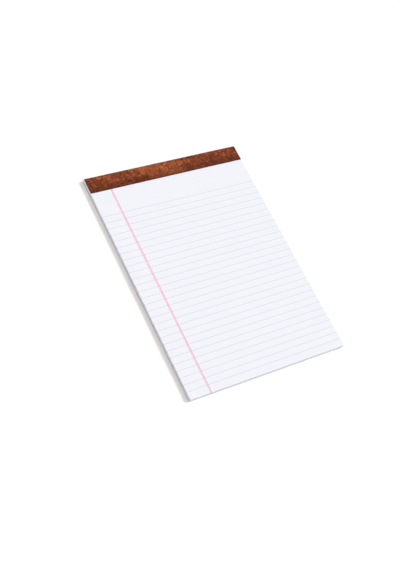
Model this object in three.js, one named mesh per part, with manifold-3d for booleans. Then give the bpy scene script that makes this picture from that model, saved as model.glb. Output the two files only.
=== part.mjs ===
// A letter-size ruled pad, bound at the head, lying on its back as it would on a desk.
// Fifty sheets and a chipboard back are stitched through the stub with two wires, and one strip
// of leatherette paper is folded round the head over the stitches. Each sheet tears off at a
// perforation just below the strip.
// Millimetres. +X to the right across the page, +Y up the page to the head, +Z out of the page.
// The origin is the middle of the underside.

import * as THREE from "three";
import { mergeVertices } from "three/addons/utils/BufferGeometryUtils.js";
import Module from "manifold-3d";

// Paper and board
const padWidth = 215.9; // 8 1/2 in
const tearOffLength = 279.4; // 11 in, from the foot to the perforation
const stubLength = 22; // from the perforation to the head, what stays on the pad
const sheetCount = 50;
const sheetPitch = 0.0875; // a sheet and the air it traps
const boardThickness = 0.75;

// Perforation, a row of slits through every sheet
const slitLength = 1.5;
const slitWidth = 0.12;
const tieLength = 0.55; // paper left between two slits

// Binding strip
const stripThickness = 0.1875;
const stripToPerforation = 0.6; // paper that shows between the strip and the slits
const stripBackReach = 21; // from the head down the board
const stripBedding = 0.0625; // how far the back flange is pressed into the board
const foldRadius = 0.28; // outside of the fold

// Wire stitches
const wireDiameter = 0.5;
const wireClearance = 0.05; // all round the wire
const crownLength = 12.7; // between the middles of the legs
const crownSink = 0.3; // how far the crown is pulled down into the paper
const clinchLength = 4.5; // leg folded inwards under the board
const bendReach = 0.85; // from a sharp corner to the start of its bend
const stitchSpacing = 108; // between the middles of the two crowns
const stitchFromHead = 10.8;
const ridgeSpread = 2.2; // width of the strip's ridge over a crown, against its height

// How finely the wire is divided
const wireSides = 10;
const wireSteps = 96;

// Heights of the layers, from the underside up
const bedZ = stripThickness; // top of the back flange
const boardBottom = bedZ - stripBedding;
const sheetsBottom = boardBottom + boardThickness;
const sheetsTop = sheetsBottom + sheetCount * sheetPitch;
const padTop = sheetsTop + stripThickness;

// Places along the page, with the folded strip inside the overall length
const padLength = tearOffLength + stubLength;
const footY = -(padLength + stripThickness) / 2;
const headY = footY + padLength;
const perforationY = footY + tearOffLength;
const backEdgeY = headY - stripBackReach;
const stitchY = headY - stitchFromHead;

const crownZ = sheetsTop - crownSink + wireDiameter / 2;
const clinchZ = bedZ + wireClearance + wireDiameter / 2;
const channelRadius = wireDiameter / 2 + wireClearance;

const wasm = await Module();
wasm.setup();

// A three.js geometry as a solid that can be cut and joined
function solidFrom(geometry) {
  const bare = geometry.clone();
  bare.deleteAttribute("normal");
  bare.deleteAttribute("uv");
  const merged = mergeVertices(bare, 1e-5);
  return new wasm.Manifold(
    new wasm.Mesh({
      numProp: 3,
      vertProperties: merged.attributes.position.array,
      triVerts: new Uint32Array(merged.index.array),
    }),
  );
}

// A cut solid as a geometry again, with flat faces
function geometryFrom(solid) {
  const mesh = solid.getMesh();
  const geometry = new THREE.BufferGeometry();
  geometry.setAttribute("position", new THREE.BufferAttribute(mesh.vertProperties, 3));
  geometry.setIndex(new THREE.BufferAttribute(mesh.triVerts, 1));
  const flat = geometry.toNonIndexed();
  flat.computeVertexNormals();
  return flat;
}

// A side view of the pad, Y to the right and Z up, as a solid from edge to edge of the page
function acrossPage(profile) {
  const fromSideView = new THREE.Matrix4().makeBasis(
    new THREE.Vector3(0, 1, 0),
    new THREE.Vector3(0, 0, 1),
    new THREE.Vector3(1, 0, 0),
  );
  fromSideView.setPosition(-padWidth / 2, 0, 0);
  const options = { depth: padWidth, bevelEnabled: false, curveSegments: 6 };
  return solidFrom(new THREE.ExtrudeGeometry(profile, options).applyMatrix4(fromSideView));
}

function sheetBlock() {
  const profile = new THREE.Shape();
  profile.moveTo(footY, sheetsBottom);
  profile.lineTo(headY, sheetsBottom);
  profile.lineTo(headY, sheetsTop);
  profile.lineTo(footY, sheetsTop);
  return acrossPage(profile);
}

// The row of slits as blades that pass through every sheet, centred on the page so that both
// edges of it end in paper
function perforationBlades() {
  const pitch = slitLength + tieLength;
  const count = Math.floor((padWidth - tieLength) / pitch);
  const firstX = (-(count - 1) * pitch) / 2;
  const blade = solidFrom(new THREE.BoxGeometry(slitLength, slitWidth, 2 * padTop));
  return Array.from({ length: count }, (_, i) =>
    blade.translate([firstX + i * pitch, perforationY, padTop]),
  );
}

// The line of a stitch, from one leg's tip round the crown to the other's, in its own XZ plane
function stitchLine(clinch) {
  const legX = crownLength / 2;
  const tipX = legX - clinch;
  const corners = [
    new THREE.Vector3(-tipX, 0, clinchZ),
    new THREE.Vector3(-legX, 0, clinchZ),
    new THREE.Vector3(-legX, 0, crownZ),
    new THREE.Vector3(legX, 0, crownZ),
    new THREE.Vector3(legX, 0, clinchZ),
    new THREE.Vector3(tipX, 0, clinchZ),
  ];
  const line = new THREE.CurvePath();
  let from = corners[0];
  for (let i = 1; i < corners.length - 1; i += 1) {
    const corner = corners[i];
    const bendStart = corner.clone().add(from.clone().sub(corner).setLength(bendReach));
    const bendEnd = corner.clone().add(corners[i + 1].clone().sub(corner).setLength(bendReach));
    line.add(new THREE.LineCurve3(from, bendStart));
    line.add(new THREE.QuadraticBezierCurve3(bendStart, corner, bendEnd));
    from = bendEnd;
  }
  line.add(new THREE.LineCurve3(from, corners[corners.length - 1]));
  return line;
}

function sweptWire(radius, clinch) {
  const section = new THREE.Shape().absarc(0, 0, radius, 0, 2 * Math.PI);
  return new THREE.ExtrudeGeometry(section, {
    extrudePath: stitchLine(clinch),
    steps: wireSteps,
    curveSegments: wireSides / 2,
  });
}

const stitchPlaces = { left: -stitchSpacing / 2, right: stitchSpacing / 2 };

// What both wires take out of the paper and the board they are driven through
function stitchChannels() {
  const channel = solidFrom(sweptWire(channelRadius, clinchLength + wireClearance));
  return Object.values(stitchPlaces).map((x) => channel.translate([x, stitchY, 0]));
}

// The open grooves that the clinched legs press into the back of the board
function clinchGrooves() {
  const length = clinchLength + channelRadius + wireClearance;
  const groove = solidFrom(new THREE.BoxGeometry(length, 2 * channelRadius, clinchZ));
  const fromCrownMiddle = crownLength / 2 + channelRadius - length / 2;
  return Object.values(stitchPlaces).flatMap((x) =>
    [-fromCrownMiddle, fromCrownMiddle].map((dx) =>
      groove.translate([x + dx, stitchY, clinchZ / 2]),
    ),
  );
}

// The low ridge that the strip makes over a crown: a round-ended bar, spread along the page
function crownRidge() {
  const radius = channelRadius + stripThickness;
  const halfBar = (crownLength - bendReach) / 2;
  const side = new THREE.Path();
  side.absarc(0, -halfBar, radius, -Math.PI / 2, 0);
  side.absarc(0, halfBar, radius, 0, Math.PI / 2);
  const points = side.getPoints(5);
  points[0].x = 0;
  points[points.length - 1].x = 0;
  return new THREE.LatheGeometry(points, 20).rotateZ(Math.PI / 2).scale(1, ridgeSpread, 1);
}

// Back flange, spine and front flange, folded with true radii
function foldedStrip() {
  const outerY = headY + stripThickness;
  const frontEdgeY = perforationY + stripToPerforation;
  const profile = new THREE.Shape();
  profile.moveTo(backEdgeY, 0);
  profile.lineTo(outerY - foldRadius, 0);
  profile.absarc(outerY - foldRadius, foldRadius, foldRadius, -Math.PI / 2, 0);
  profile.absarc(outerY - foldRadius, padTop - foldRadius, foldRadius, 0, Math.PI / 2);
  profile.lineTo(frontEdgeY, padTop);
  profile.lineTo(frontEdgeY, sheetsTop);
  profile.lineTo(headY, sheetsTop);
  profile.lineTo(headY, bedZ);
  profile.lineTo(backEdgeY, bedZ);
  return acrossPage(profile);
}

function joined(solid, additions) {
  return additions.reduce((whole, piece) => whole.add(piece), solid);
}

function cut(solid, tools) {
  return tools.reduce((rest, tool) => rest.subtract(tool), solid);
}

function ruledSheets(channels) {
  return geometryFrom(cut(sheetBlock(), [...perforationBlades(), ...channels]));
}

// Flush with the sheets, and let down at the head where the back flange is bedded
function backingBoard(channels) {
  const profile = new THREE.Shape();
  profile.moveTo(footY, boardBottom);
  profile.lineTo(backEdgeY, boardBottom);
  profile.lineTo(backEdgeY, bedZ);
  profile.lineTo(headY, bedZ);
  profile.lineTo(headY, sheetsBottom);
  profile.lineTo(footY, sheetsBottom);
  return geometryFrom(cut(acrossPage(profile), [...channels, ...clinchGrooves()]));
}

function headerStrip(channels) {
  const ridge = solidFrom(crownRidge());
  const ridges = Object.values(stitchPlaces).map((x) => ridge.translate([x, stitchY, crownZ]));
  return geometryFrom(cut(joined(foldedStrip(), ridges), [sheetBlock(), ...channels]));
}

const finishes = {
  paper: new THREE.MeshStandardMaterial({ color: 0xf0f3fa, roughness: 0.85, metalness: 0 }),
  chipboard: new THREE.MeshStandardMaterial({ color: 0x9b948a, roughness: 0.95, metalness: 0 }),
  leatherette: new THREE.MeshStandardMaterial({ color: 0x8a4a28, roughness: 0.6, metalness: 0 }),
  wire: new THREE.MeshStandardMaterial({ color: 0xb9bdc2, roughness: 0.35, metalness: 1 }),
};

function named(name, geometry, material) {
  const mesh = new THREE.Mesh(geometry, material);
  mesh.name = name;
  return mesh;
}

const channels = stitchChannels();
const pad = new THREE.Group();
pad.add(named("ruled_sheets", ruledSheets(channels), finishes.paper));
pad.add(named("backing_board", backingBoard(channels), finishes.chipboard));
pad.add(named("header_strip", headerStrip(channels), finishes.leatherette));

const stitches = new THREE.Group();
stitches.position.y = stitchY;
for (const [side, x] of Object.entries(stitchPlaces)) {
  const wire = sweptWire(wireDiameter / 2, clinchLength);
  const stitch = named(`wire_stitch_${side}`, wire, finishes.wire);
  stitch.position.x = x;
  stitches.add(stitch);
}
pad.add(stitches);

export default pad;
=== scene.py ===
import math
import random

import bmesh
import bpy
from mathutils import Euler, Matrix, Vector


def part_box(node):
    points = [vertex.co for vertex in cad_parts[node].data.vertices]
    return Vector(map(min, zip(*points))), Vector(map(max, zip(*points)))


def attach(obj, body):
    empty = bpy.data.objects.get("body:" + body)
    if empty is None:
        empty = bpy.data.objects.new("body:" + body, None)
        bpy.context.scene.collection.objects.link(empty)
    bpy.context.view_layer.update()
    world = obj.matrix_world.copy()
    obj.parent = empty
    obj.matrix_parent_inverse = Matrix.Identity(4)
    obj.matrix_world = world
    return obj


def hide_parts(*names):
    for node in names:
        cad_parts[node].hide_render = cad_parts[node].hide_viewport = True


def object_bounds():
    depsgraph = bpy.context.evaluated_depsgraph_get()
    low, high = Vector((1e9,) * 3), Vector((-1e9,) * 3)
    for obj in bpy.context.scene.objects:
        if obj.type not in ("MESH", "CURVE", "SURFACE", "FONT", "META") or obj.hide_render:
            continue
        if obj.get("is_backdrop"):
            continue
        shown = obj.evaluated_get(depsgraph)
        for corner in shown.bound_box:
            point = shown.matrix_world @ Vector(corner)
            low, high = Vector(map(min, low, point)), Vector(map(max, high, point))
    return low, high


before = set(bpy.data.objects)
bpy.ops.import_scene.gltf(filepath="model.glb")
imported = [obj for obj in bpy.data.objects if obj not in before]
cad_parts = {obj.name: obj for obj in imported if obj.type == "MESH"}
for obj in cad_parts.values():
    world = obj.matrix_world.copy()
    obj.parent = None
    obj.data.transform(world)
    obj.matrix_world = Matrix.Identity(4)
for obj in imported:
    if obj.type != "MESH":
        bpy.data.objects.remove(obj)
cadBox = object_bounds()
print("legal pad: frame loaded,", len(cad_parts), "CAD nodes")

sheetsLow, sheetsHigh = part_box("ruled_sheets")
stripLow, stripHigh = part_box("header_strip")
wireLow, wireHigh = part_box("wire_stitch_right")
millimetre = 0.001


def linear(colour):
    # from 0 to 255 as a screen shows it, to the light that a shader works in
    steps = [value / 255 for value in colour]
    return [s / 12.92 if s < 0.04045 else ((s + 0.055) / 1.055) ** 2.4 for s in steps] + [1.0]


class Value:
    # A number that changes over a surface. Sums on it add Math nodes.
    def __init__(self, finish, socket):
        self.finish = finish
        self.socket = socket

    def maths(self, operation, *terms):
        node = self.finish.node("Math", {"operation": operation}, dict(enumerate(terms)))
        return Value(self.finish, node.outputs[0])

    def __add__(self, other):
        return self.maths("ADD", self, other)

    def __mul__(self, other):
        return self.maths("MULTIPLY", self, other)

    # either way round these two give the same
    __radd__, __rmul__ = __add__, __mul__

    def __sub__(self, other):
        return self.maths("SUBTRACT", self, other)

    def __rsub__(self, other):
        return self.maths("SUBTRACT", other, self)

    def __truediv__(self, other):
        return self.maths("DIVIDE", self, other)

    def __rtruediv__(self, other):
        return self.maths("DIVIDE", other, self)

    def __abs__(self):
        return self.maths("ABSOLUTE", self)

    def __round__(self):
        return self.maths("ROUND", self)

    def orMore(self, other):
        return self.maths("MAXIMUM", self, other)

    def orLess(self, other):
        return self.maths("MINIMUM", self, other)


class Finish:
    # A material, with its nodes made in one place
    def __init__(self, name):
        self.material = bpy.data.materials.new(name)
        self.material.use_nodes = True
        self.tree = self.material.node_tree
        self.tree.nodes.clear()
        self.place = self.node("TexCoord").outputs["Object"]
        split = self.node("SeparateXYZ", {}, {"Vector": self.place})
        self.x, self.y, self.z = [Value(self, output) for output in split.outputs]

    def node(self, kind, settings=None, sockets=None):
        node = self.tree.nodes.new("ShaderNode" + kind)
        for setting, value in (settings or {}).items():
            if setting == "stops":
                self.setStops(node.color_ramp.elements, value)
            else:
                setattr(node, setting, value)
        for name, value in (sockets or {}).items():
            if isinstance(value, Value):
                value = value.socket
            if isinstance(value, bpy.types.NodeSocket):
                self.tree.links.new(value, node.inputs[name])
            else:
                node.inputs[name].default_value = value
        return node

    def setStops(self, ramp, stops):
        # a new ramp has two stops, and the first is kept to be the first of these
        ramp.remove(ramp[1])
        ramp[0].position, ramp[0].color = stops[0]
        for position, colour in stops[1:]:
            ramp.new(position).color = colour

    def noise(self, perMetre=1.0, detail=2.0, roughness=0.5, distortion=0.0,
              slid=(0.0, 0.0, 0.0), stretched=(1.0, 1.0, 1.0)):
        # from 0 to 1, about 0.5 on average
        mapping = {"Vector": self.place, "Location": slid, "Scale": stretched}
        place = self.node("Mapping", {}, mapping).outputs[0]
        sockets = {"Vector": place, "Scale": perMetre, "Detail": detail,
                   "Roughness": roughness, "Distortion": distortion}
        return Value(self, self.node("TexNoise", {}, sockets).outputs["Fac"])

    def ease(self, value, start, end, low=0.0, high=1.0):
        # low before start, high after end, and smooth between them
        sockets = {"Value": value, "From Min": start, "From Max": end,
                   "To Min": low, "To Max": high}
        node = self.node("MapRange", {"interpolation_type": "SMOOTHSTEP"}, sockets)
        return Value(self, node.outputs["Result"])

    def near(self, distance, reach, most):
        # most where the distance is nothing, and none of it past the reach
        return self.ease(distance, 0.0, reach, most, 0.0)

    def mix(self, share, first, second):
        # by number, as a Mix node has the same names again for each kind of value
        sockets = {0: share, 6: first, 7: second}
        return self.node("Mix", {"data_type": "RGBA"}, sockets).outputs[2]

    def bump(self, height, depth, strength):
        sockets = {"Height": height, "Distance": depth, "Strength": strength}
        return self.node("Bump", {}, sockets).outputs["Normal"]

    def surface(self, sockets):
        shader = self.node("BsdfPrincipled", {}, sockets)
        self.node("OutputMaterial", {}, {"Surface": shader.outputs[0]})
        return self.material


# In the finishes below, a pattern is what Finish.noise takes: its scale, or how it is
# stretched, is per metre. A spread is what Finish.ease takes: where a change starts and
# ends, then its low and high if they aren't 0 and 1.

# the printed lines, on the page and where they run off the cut edges of the sheets
ruling = {
    "firstRule": 55.8 * millimetre,      # below the head of the sheets
    "pitch": 8.731 * millimetre,         # 11/32 in
    "lastAboveFoot": 6.0 * millimetre,   # at least
    "ruleWidth": 0.285 * millimetre,
    "tickWidth": 0.5 * millimetre,       # of a rule on a cut edge
    "marginFromLeft": 27.2 * millimetre,
    "marginGap": 1.35 * millimetre,      # between the middles of the pair
    "marginWidth": 0.55 * millimetre,
    "edgeSoftness": 0.28 * millimetre,   # half the width over which the ink fades out
    "ruleInk": (162, 168, 196),
    "tickInk": (146, 152, 182),
    "marginInk": (226, 92, 163),
}


def lineMask(finish, away, width):
    # 1 on a printed line, from the distance to its middle
    soft = ruling["edgeSoftness"]
    return finish.ease(away, width / 2 - soft, width / 2 + soft, 1.0, 0.0)


def ruleMask(finish, width):
    # the blue rules, which run right across the page and off its sides
    firstY = sheetsHigh.y - ruling["firstRule"]
    count = math.floor((firstY - sheetsLow.y - ruling["lastAboveFoot"]) / ruling["pitch"])
    steps = (firstY - finish.y) / ruling["pitch"]
    nearest = round(steps).orMore(0.0).orLess(float(count))
    return lineMask(finish, abs(steps - nearest) * ruling["pitch"], width)


def marginMask(finish):
    # the pair of fine red lines down the left of the page
    middleX = sheetsLow.x + ruling["marginFromLeft"]
    fromPair = abs(abs(finish.x - middleX) - ruling["marginGap"] / 2)
    return lineMask(finish, fromPair, ruling["marginWidth"])


pageFinish = {
    "paper": (224, 227, 236),
    "paperShade": (220, 223, 232),
    "cloud": {"perMetre": 24, "detail": 3.0},         # how the fibres gather
    "fibre": {"perMetre": 2600, "detail": 3.0, "roughness": 0.6},
    "cloudShare": 0.6,                   # of the change in shade, and the rest is the fibre's
    "inkSpread": (0.25, 0.55, 0.78, 1.0),
    "toothDepth": 0.1 * millimetre,
    "toothStrength": 0.5,
    "cloudRelief": 2.0,                  # against the fibre's
    "roughness": 0.82,
    "specular": 0.25,
}


def ruledPage():
    finish = Finish("ruledPage")
    cloud, fibre = finish.noise(**pageFinish["cloud"]), finish.noise(**pageFinish["fibre"])
    cloudShare = pageFinish["cloudShare"]
    shade, paper = linear(pageFinish["paperShade"]), linear(pageFinish["paper"])
    bare = finish.mix(cloud * cloudShare + fibre * (1 - cloudShare), shade, paper)
    # the lines are printed a little unevenly, as thin ink on toothed paper is
    density = finish.ease(fibre, *pageFinish["inkSpread"])
    rules = ruleMask(finish, ruling["ruleWidth"]) * density
    ruled = finish.mix(rules, bare, linear(ruling["ruleInk"]))
    printed = finish.mix(marginMask(finish) * density, ruled, linear(ruling["marginInk"]))
    tooth = fibre + cloud * pageFinish["cloudRelief"]
    normal = finish.bump(tooth, pageFinish["toothDepth"], pageFinish["toothStrength"])
    return finish.surface({"Base Color": printed, "Roughness": pageFinish["roughness"],
                           "Specular IOR Level": pageFinish["specular"], "Normal": normal})


edgeFinish = {
    "paper": (224, 226, 239),
    "paperShade": (198, 200, 215),
    "streak": {"stretched": (60, 60, 9000)},          # slow along a sheet, quick between sheets
    "paperSpread": (0.3, 0.7),
    "tickSpread": (0.3, 0.65, 0.3, 0.9),
    "roughness": 0.95,
    "specular": 0.1,
}


def cutSheetEdges():
    finish = Finish("cutSheetEdges")
    streak = finish.noise(**edgeFinish["streak"])
    shade, paper = linear(edgeFinish["paperShade"]), linear(edgeFinish["paper"])
    bare = finish.mix(finish.ease(streak, *edgeFinish["paperSpread"]), shade, paper)
    density = finish.ease(streak, *edgeFinish["tickSpread"])
    ticks = ruleMask(finish, ruling["tickWidth"]) * density
    ticked = finish.mix(ticks, bare, linear(ruling["tickInk"]))
    return finish.surface({"Base Color": ticked, "Roughness": edgeFinish["roughness"],
                           "Specular IOR Level": edgeFinish["specular"]})


boardFinish = {
    "board": (160, 153, 144),
    "boardDark": (130, 122, 113),
    "fleck": (102, 90, 78),
    "paleFleck": (194, 188, 178),
    "cloud": {"perMetre": 90, "detail": 4.0, "roughness": 0.6},
    "pulp": {"perMetre": 1400, "detail": 4.0, "roughness": 0.65},
    "boardSpread": (0.75, 1.25),         # of the cloud and the pulp together
    # short fibres that lie both ways
    "fibres": {"distortion": 0.4, "stretched": (900, 3800, 3800)},
    "crossing": {"distortion": 0.4, "stretched": (3800, 900, 3800)},
    "fleckSpread": (0.66, 0.74),
    "paleFleckSpread": (0.67, 0.75),
    "reliefDepth": 0.25 * millimetre,
    "reliefStrength": 0.7,
    "fibreRelief": 0.5,                  # against the pulp's
    "roughness": 0.93,
    "specular": 0.2,
}


def chipboard():
    finish = Finish("chipboard")
    cloud, pulp = finish.noise(**boardFinish["cloud"]), finish.noise(**boardFinish["pulp"])
    fibres, crossing = finish.noise(**boardFinish["fibres"]), finish.noise(**boardFinish["crossing"])
    dark, board = linear(boardFinish["boardDark"]), linear(boardFinish["board"])
    colour = finish.mix(finish.ease(cloud + pulp, *boardFinish["boardSpread"]), dark, board)
    flecks = finish.ease(fibres, *boardFinish["fleckSpread"])
    colour = finish.mix(flecks, colour, linear(boardFinish["fleck"]))
    paleFlecks = finish.ease(crossing, *boardFinish["paleFleckSpread"])
    colour = finish.mix(paleFlecks, colour, linear(boardFinish["paleFleck"]))
    relief = pulp + fibres * boardFinish["fibreRelief"]
    normal = finish.bump(relief, boardFinish["reliefDepth"], boardFinish["reliefStrength"])
    return finish.surface({"Base Color": colour, "Roughness": boardFinish["roughness"],
                           "Specular IOR Level": boardFinish["specular"], "Normal": normal})


stripFinish = {
    # deep brown, brown, tan and gold, and where each lies in the print's tones
    "dye": [(0.0, (66, 22, 9)), (0.34, (114, 52, 22)), (0.6, (144, 73, 36)), (1.0, (184, 117, 68))],
    "cloud": {"perMetre": 21, "distortion": 0.6, "slid": (0.085, 0.0, 0.0)},
    "mottle": {"perMetre": 190, "detail": 5.0, "roughness": 0.62, "distortion": 0.8,
               "slid": (0.12, 0.0, 0.0)},
    "speckle": {"perMetre": 620, "detail": 4.0, "roughness": 0.62},
    "cloudShare": 0.5,
    "mottleShare": 0.85,
    "speckleShare": 0.85,
    "toneSpread": (0.84, 1.42),          # of the three together
    "red": (150, 60, 45),
    "redPatches": {"perMetre": 130, "distortion": 0.5},
    "redSpread": (0.45, 0.7, 0.0, 0.5),
    # painted shade, drawn into the colour towards the front edge
    "shadow": (74, 29, 11),              # towards the front edge
    "shadowReach": 17.0 * millimetre,
    "shadowMost": 0.55,
    "rim": (44, 15, 6),                  # at the front edge, the ends and the folds
    "rimReach": 2.0 * millimetre,
    "rimMost": 0.95,
    "foldReach": 1.3 * millimetre,
    "foldMost": 0.5,
    "grain": {"Scale": 1700, "Smoothness": 0.25},
    "grainDepth": 0.6 * millimetre,      # as a bump's distance, which comes out shallower
    "grainStrength": 0.7,
    "mottleRelief": 0.15,                # against the grain's
    "roughnessSpread": (0.6, 1.2, 0.49, 0.67),
    "specular": 0.14,
}


def leatherette():
    finish = Finish("leatherette")
    cloud, mottle = finish.noise(**stripFinish["cloud"]), finish.noise(**stripFinish["mottle"])
    speckle = finish.noise(**stripFinish["speckle"])
    tone = (cloud * stripFinish["cloudShare"] + mottle * stripFinish["mottleShare"]
            + speckle * stripFinish["speckleShare"])
    stops = [(position, linear(colour)) for position, colour in stripFinish["dye"]]
    spread = finish.ease(tone, *stripFinish["toneSpread"])
    dye = finish.node("ValToRGB", {"stops": stops}, {"Fac": spread}).outputs[0]
    # some patches of the print are redder
    redPatches = finish.noise(**stripFinish["redPatches"])
    dye = finish.mix(finish.ease(redPatches, *stripFinish["redSpread"]), dye,
                     linear(stripFinish["red"]))
    # painted shade: the colour is drawn darker from the fold to the front edge
    fromFront = finish.y - stripLow.y
    shadow = finish.near(fromFront, stripFinish["shadowReach"], stripFinish["shadowMost"])
    dye = finish.mix(shadow, dye, linear(stripFinish["shadow"]))
    # and has a dark rim there, at the ends, where it is half as wide, and along the folds
    fromEnd = stripHigh.x - abs(finish.x)
    fromRim = fromFront.orLess(fromEnd * 2)
    fromFold = (stripHigh.y - finish.y).orMore(stripHigh.z - finish.z)
    rim = finish.near(fromRim, stripFinish["rimReach"], stripFinish["rimMost"])
    handled = finish.near(fromFold, stripFinish["foldReach"], stripFinish["foldMost"])
    dye = finish.mix(rim.orMore(handled), dye, linear(stripFinish["rim"]))
    # pebbled grain, as pressed into the coated paper
    cells = finish.node("TexVoronoi", {"feature": "SMOOTH_F1"},
                        {"Vector": finish.place, **stripFinish["grain"]})
    pebble = Value(finish, cells.outputs["Distance"])
    relief = 1 - pebble + mottle * stripFinish["mottleRelief"]
    normal = finish.bump(relief, stripFinish["grainDepth"], stripFinish["grainStrength"])
    roughness = finish.ease(pebble + speckle, *stripFinish["roughnessSpread"])
    return finish.surface({"Base Color": dye, "Roughness": roughness, "Normal": normal,
                           "Specular IOR Level": stripFinish["specular"]})


wireFinish = {
    "steel": (176, 178, 182),
    "dull": (140, 142, 147),
    "drawn": {"stretched": (300, 5200, 5200)},        # the die's marks, along the crown
    "roughnessSpread": (0.2, 0.8, 0.26, 0.42),
}


def drawnSteel():
    finish = Finish("drawnSteel")
    drawn = finish.noise(**wireFinish["drawn"])
    colour = finish.mix(drawn, linear(wireFinish["dull"]), linear(wireFinish["steel"]))
    roughness = finish.ease(drawn, *wireFinish["roughnessSpread"])
    return finish.surface({"Base Color": colour, "Metallic": 1.0, "Roughness": roughness})


ruledPaper = ruledPage()
sheetEdges = cutSheetEdges()
steel = drawnSteel()
cadFinishes = {
    "backing_board": chipboard(),
    "header_strip": leatherette(),
    "wire_stitch_left": steel,
    "wire_stitch_right": steel,
}
for nodeName, material in cadFinishes.items():
    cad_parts[nodeName].material_slots[0].material = material
print("legal pad: finishes made")


stack = {
    "sheets": 50,
    "airShare": 0.05,                    # of each sheet's room, left as air
    "slitLength": 1.5 * millimetre,
    "slitWidth": 0.12 * millimetre,
    "tie": 0.55 * millimetre,            # paper between two slits
    "slitsBelowStrip": 0.6 * millimetre,
    "perforatedShown": 6,                # sheets whose slits can be looked into
    "needleHole": 0.7 * millimetre,      # round a wire's leg
    "crownSlotSheets": 4,                # that the crown of a wire is pulled down into
    "trimError": 0.035 * millimetre,     # how far a cut edge is from true
    "gridRows": 14,                      # up the page, for the slight lift at the foot
    "gridColumns": 10,
    "footLift": 0.3 * millimetre,        # at the top sheet's highest corner
    "liftReach": 90 * millimetre,        # from the foot
    "liftKept": 0.55,                    # by each sheet, of the lift of the one above it
    "liftLeast": 0.35,                   # across the foot, against its highest
    "liftWave": 21,                      # radians a metre, across the foot
    "liftWaveStart": 0.7,
    "seed": 8,
}

perforationY = stripLow.y - stack["slitsBelowStrip"]
stitchY = (wireLow.y + wireHigh.y) / 2
stitchX = (wireLow.x + wireHigh.x) / 2
wireThickness = wireHigh.y - wireLow.y
legReach = (wireHigh.x - wireLow.x - wireThickness) / 2    # from a crown's middle to a leg's
slitPitch = stack["slitLength"] + stack["tie"]
slitCount = math.floor((sheetsHigh.x - sheetsLow.x - stack["tie"]) / slitPitch)
sheetPitch = (sheetsHigh.z - sheetsLow.z) / stack["sheets"]
sheetThickness = sheetPitch * (1 - stack["airShare"])
weldDistance = 0.001 * millimetre
rolls = random.Random(stack["seed"])


def evenly(start, end, count):
    return [start + (end - start) * i / count for i in range(count + 1)]


def columnPlaces(perforated):
    # where a sheet's grid is divided across the page: at the holes and the slits
    halfHole, halfSlit = stack["needleHole"] / 2, stack["slitLength"] / 2
    places = evenly(sheetsLow.x, sheetsHigh.x, stack["gridColumns"])
    for leg in (stitchX - legReach, stitchX + legReach):
        for side in (-1, 1):
            places += [side * leg - halfHole, side * leg + halfHole]
    if perforated:
        first = -(slitCount - 1) * slitPitch / 2
        for i in range(slitCount):
            middle = first + i * slitPitch
            places += [middle - halfSlit, middle + halfSlit]
    return sorted(places)


def rowPlaces():
    # and where it is divided up the page
    halfHole, halfSlit = stack["needleHole"] / 2, stack["slitWidth"] / 2
    below = evenly(sheetsLow.y, perforationY - halfSlit, stack["gridRows"])
    return below + [perforationY + halfSlit, stitchY - halfHole, stitchY + halfHole, sheetsHigh.y]


def isOpen(place, perforated, crownSlot):
    # whether this part of a sheet is cut away
    if abs(place.y - perforationY) < stack["slitWidth"] / 2:
        slit = place.x / slitPitch + (slitCount - 1) / 2
        return perforated and abs(slit - round(slit)) * slitPitch < stack["slitLength"] / 2
    if abs(place.y - stitchY) < stack["needleHole"] / 2:
        fromStitch = abs(abs(place.x) - stitchX)
        nearLeg = abs(fromStitch - legReach) < stack["needleHole"] / 2
        return nearLeg or (crownSlot and fromStitch < legReach)
    return False


def lift(place, depth):
    # the free foot of the top sheets stands up a little, more at one corner than at the other
    reach, least = stack["liftReach"], stack["liftLeast"]
    along = max(0.0, (sheetsLow.y + reach - place.y) / reach)
    wave = 0.5 + 0.5 * math.sin(place.x * stack["liftWave"] + stack["liftWaveStart"])
    across = least + (1 - least) * wave
    return stack["footLift"] * along ** 2 * across * stack["liftKept"] ** depth


def facesOf(verts):
    # each face once, in the order met
    return list(dict.fromkeys(face for vert in verts for face in vert.link_faces))


def addSheet(bm, depth):
    # depth counts down from the top sheet, which is 0
    perforated = depth < stack["perforatedShown"]
    crownSlot = depth < stack["crownSlotSheets"]
    columns, rows = columnPlaces(perforated), rowPlaces()
    across, along = len(columns) - 1, len(rows) - 1
    verts = bmesh.ops.create_grid(bm, x_segments=across, y_segments=along, size=1.0)["verts"]
    top = sheetsHigh.z - depth * sheetPitch
    for vert in verts:
        # the new grid is even, from -1 to 1 both ways
        column = round((vert.co.x + 1) / 2 * across)
        row = round((vert.co.y + 1) / 2 * along)
        vert.co = (columns[column], rows[row], top)
    cutAway = [face for face in facesOf(verts)
               if isOpen(face.calc_center_median(), perforated, crownSlot)]
    bmesh.ops.delete(bm, geom=cutAway, context="FACES_ONLY")
    verts = [vert for vert in verts if vert.is_valid]
    for vert in verts:
        vert.co.z += lift(vert.co, depth)
    walls = bmesh.ops.extrude_face_region(bm, geom=facesOf(verts))
    under = [item for item in walls["geom"] if isinstance(item, bmesh.types.BMVert)]
    bmesh.ops.translate(bm, verts=under, vec=(0, 0, -sheetThickness))
    if depth:
        # each sheet is trimmed very slightly out of true, and never into the strip
        error = stack["trimError"]
        nudge = Vector((rolls.uniform(-error, error), rolls.uniform(-2 * error, 0), 0))
        bmesh.ops.translate(bm, verts=verts + under, vec=nudge)


def finishedMesh(bm, name):
    # welds, turns the faces outwards, and rides on the pad's one body
    bmesh.ops.remove_doubles(bm, verts=bm.verts[:], dist=weldDistance)
    bmesh.ops.recalc_face_normals(bm, faces=bm.faces[:])
    mesh = bpy.data.meshes.new(name)
    bm.to_mesh(mesh)
    bm.free()
    piece = bpy.data.objects.new(name, mesh)
    bpy.context.scene.collection.objects.link(piece)
    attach(piece, "root")
    return piece


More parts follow.
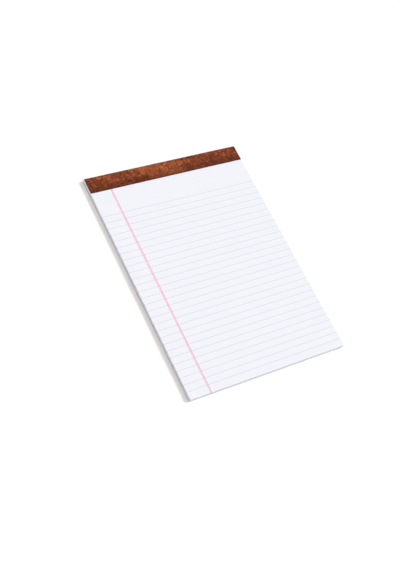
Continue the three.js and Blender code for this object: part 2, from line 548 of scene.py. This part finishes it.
def paintSheets(piece):
    # slot 0 is the printed face, slot 1 the cut edges
    piece.data.materials.append(ruledPaper)
    piece.data.materials.append(sheetEdges)
    for face in piece.data.polygons:
        liesFlat = abs(face.normal.z) > 0.5
        face.material_index = 0 if liesFlat else 1


bm = bmesh.new()
addSheet(bm, 0)
topSheet = finishedMesh(bm, "topSheet")
paintSheets(topSheet)
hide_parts("ruled_sheets")

bm = bmesh.new()
for depth in range(1, stack["sheets"]):
    addSheet(bm, depth)
sheetPile = finishedMesh(bm, "sheetPile")
paintSheets(sheetPile)
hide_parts("ruled_sheets")
print("legal pad:", stack["sheets"], "sheets,", slitCount, "slits in the perforation")


studio = {
    "floorSize": 28.0,
    "floor": (247, 247, 247),
    "floorHaze": (245, 245, 246),
    "haze": {"perMetre": 0.6, "detail": 1.0},
    "floorRoughness": 0.9,
    "floorSpecular": 0.1,
    "backdropRadius": 13.5,
    "backdropStrength": 1.0,
    "sky": 0.3,
    "skyTint": (1.0, 0.94, 0.875, 1.0),
}


def studioFloor():
    finish = Finish("studioFloor")
    haze = finish.noise(**studio["haze"])
    colour = finish.mix(haze, linear(studio["floor"]), linear(studio["floorHaze"]))
    return finish.surface({"Base Color": colour, "Roughness": studio["floorRoughness"],
                           "Specular IOR Level": studio["floorSpecular"]})


def studioBackdrop():
    finish = Finish("studioBackdrop")
    white = {"Color": (1.0, 1.0, 1.0, 1.0), "Strength": studio["backdropStrength"]}
    glow = finish.node("Emission", {}, white)
    finish.node("OutputMaterial", {}, {"Surface": glow.outputs[0]})
    return finish.material


def addStage(bm, name, material):
    mesh = bpy.data.meshes.new(name)
    bm.to_mesh(mesh)
    bm.free()
    mesh.materials.append(material)
    stage = bpy.data.objects.new(name, mesh)
    bpy.context.scene.collection.objects.link(stage)
    stage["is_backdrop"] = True
    return stage


bm = bmesh.new()
bmesh.ops.create_grid(bm, x_segments=1, y_segments=1, size=studio["floorSize"] / 2)
addStage(bm, "studioFloor", studioFloor())

# a pale dome that only the camera sees, so that it adds no light of its own
bm = bmesh.new()
bmesh.ops.create_icosphere(bm, subdivisions=4, radius=studio["backdropRadius"])
bmesh.ops.reverse_faces(bm, faces=bm.faces[:])
dome = addStage(bm, "studioBackdrop", studioBackdrop())
dome.visible_diffuse = dome.visible_glossy = False
dome.visible_shadow = dome.visible_transmission = False

world = bpy.data.worlds.new("studioSky")
bpy.context.scene.world = world
world.use_nodes = True
sky = world.node_tree.nodes["Background"]
sky.inputs["Color"].default_value = studio["skyTint"]
sky.inputs["Strength"].default_value = studio["sky"]

# wide, distant softboxes: which way each lies, and its spread in degrees
softboxes = {
    "key": {"towards": (1.0, -0.1, 0.85), "spread": 22.0, "strength": 2.45,
            "tint": (1.0, 1.0, 1.0)},
    "top": {"towards": (0.1, 0.1, 1.0), "spread": 110.0, "strength": 1.0,
            "tint": (1.0, 0.955, 0.91)},
    "fill": {"towards": (-1.0, -0.5, 0.12), "spread": 80.0, "strength": 1.65,
             "tint": (1.0, 1.0, 1.0)},
}


def addSoftbox(name, softbox):
    lamp = bpy.data.lights.new(name + "Light", "SUN")
    lamp.angle = math.radians(softbox["spread"])
    lamp.energy = softbox["strength"]
    lamp.color = softbox["tint"]
    light = bpy.data.objects.new(name + "Light", lamp)
    light.rotation_euler = Vector(softbox["towards"]).to_track_quat("Z", "Y").to_euler()
    bpy.context.scene.collection.objects.link(light)


for name, softbox in softboxes.items():
    addSoftbox(name, softbox)

viewpoint = {
    "place": (-0.56726, -0.40555, 0.95418),
    "turn": (30.3045, -17.8893, -26.7587),            # degrees
    "lens": 61.8705,
    "sensor": 36.0,
}

lens = bpy.data.cameras.new("viewpoint")
lens.lens = viewpoint["lens"]
lens.sensor_width = viewpoint["sensor"]
camera = bpy.data.objects.new("viewpoint", lens)
camera.location = viewpoint["place"]
camera.rotation_euler = Euler([math.radians(angle) for angle in viewpoint["turn"]], "XYZ")
bpy.context.scene.collection.objects.link(camera)
bpy.context.scene.camera = camera
bpy.context.scene.view_settings.view_transform = "Standard"
print("legal pad: studio ready")

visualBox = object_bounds()
sizes = {"cad": [list(corner) for corner in cadBox],
         "visual": [list(corner) for corner in visualBox]}
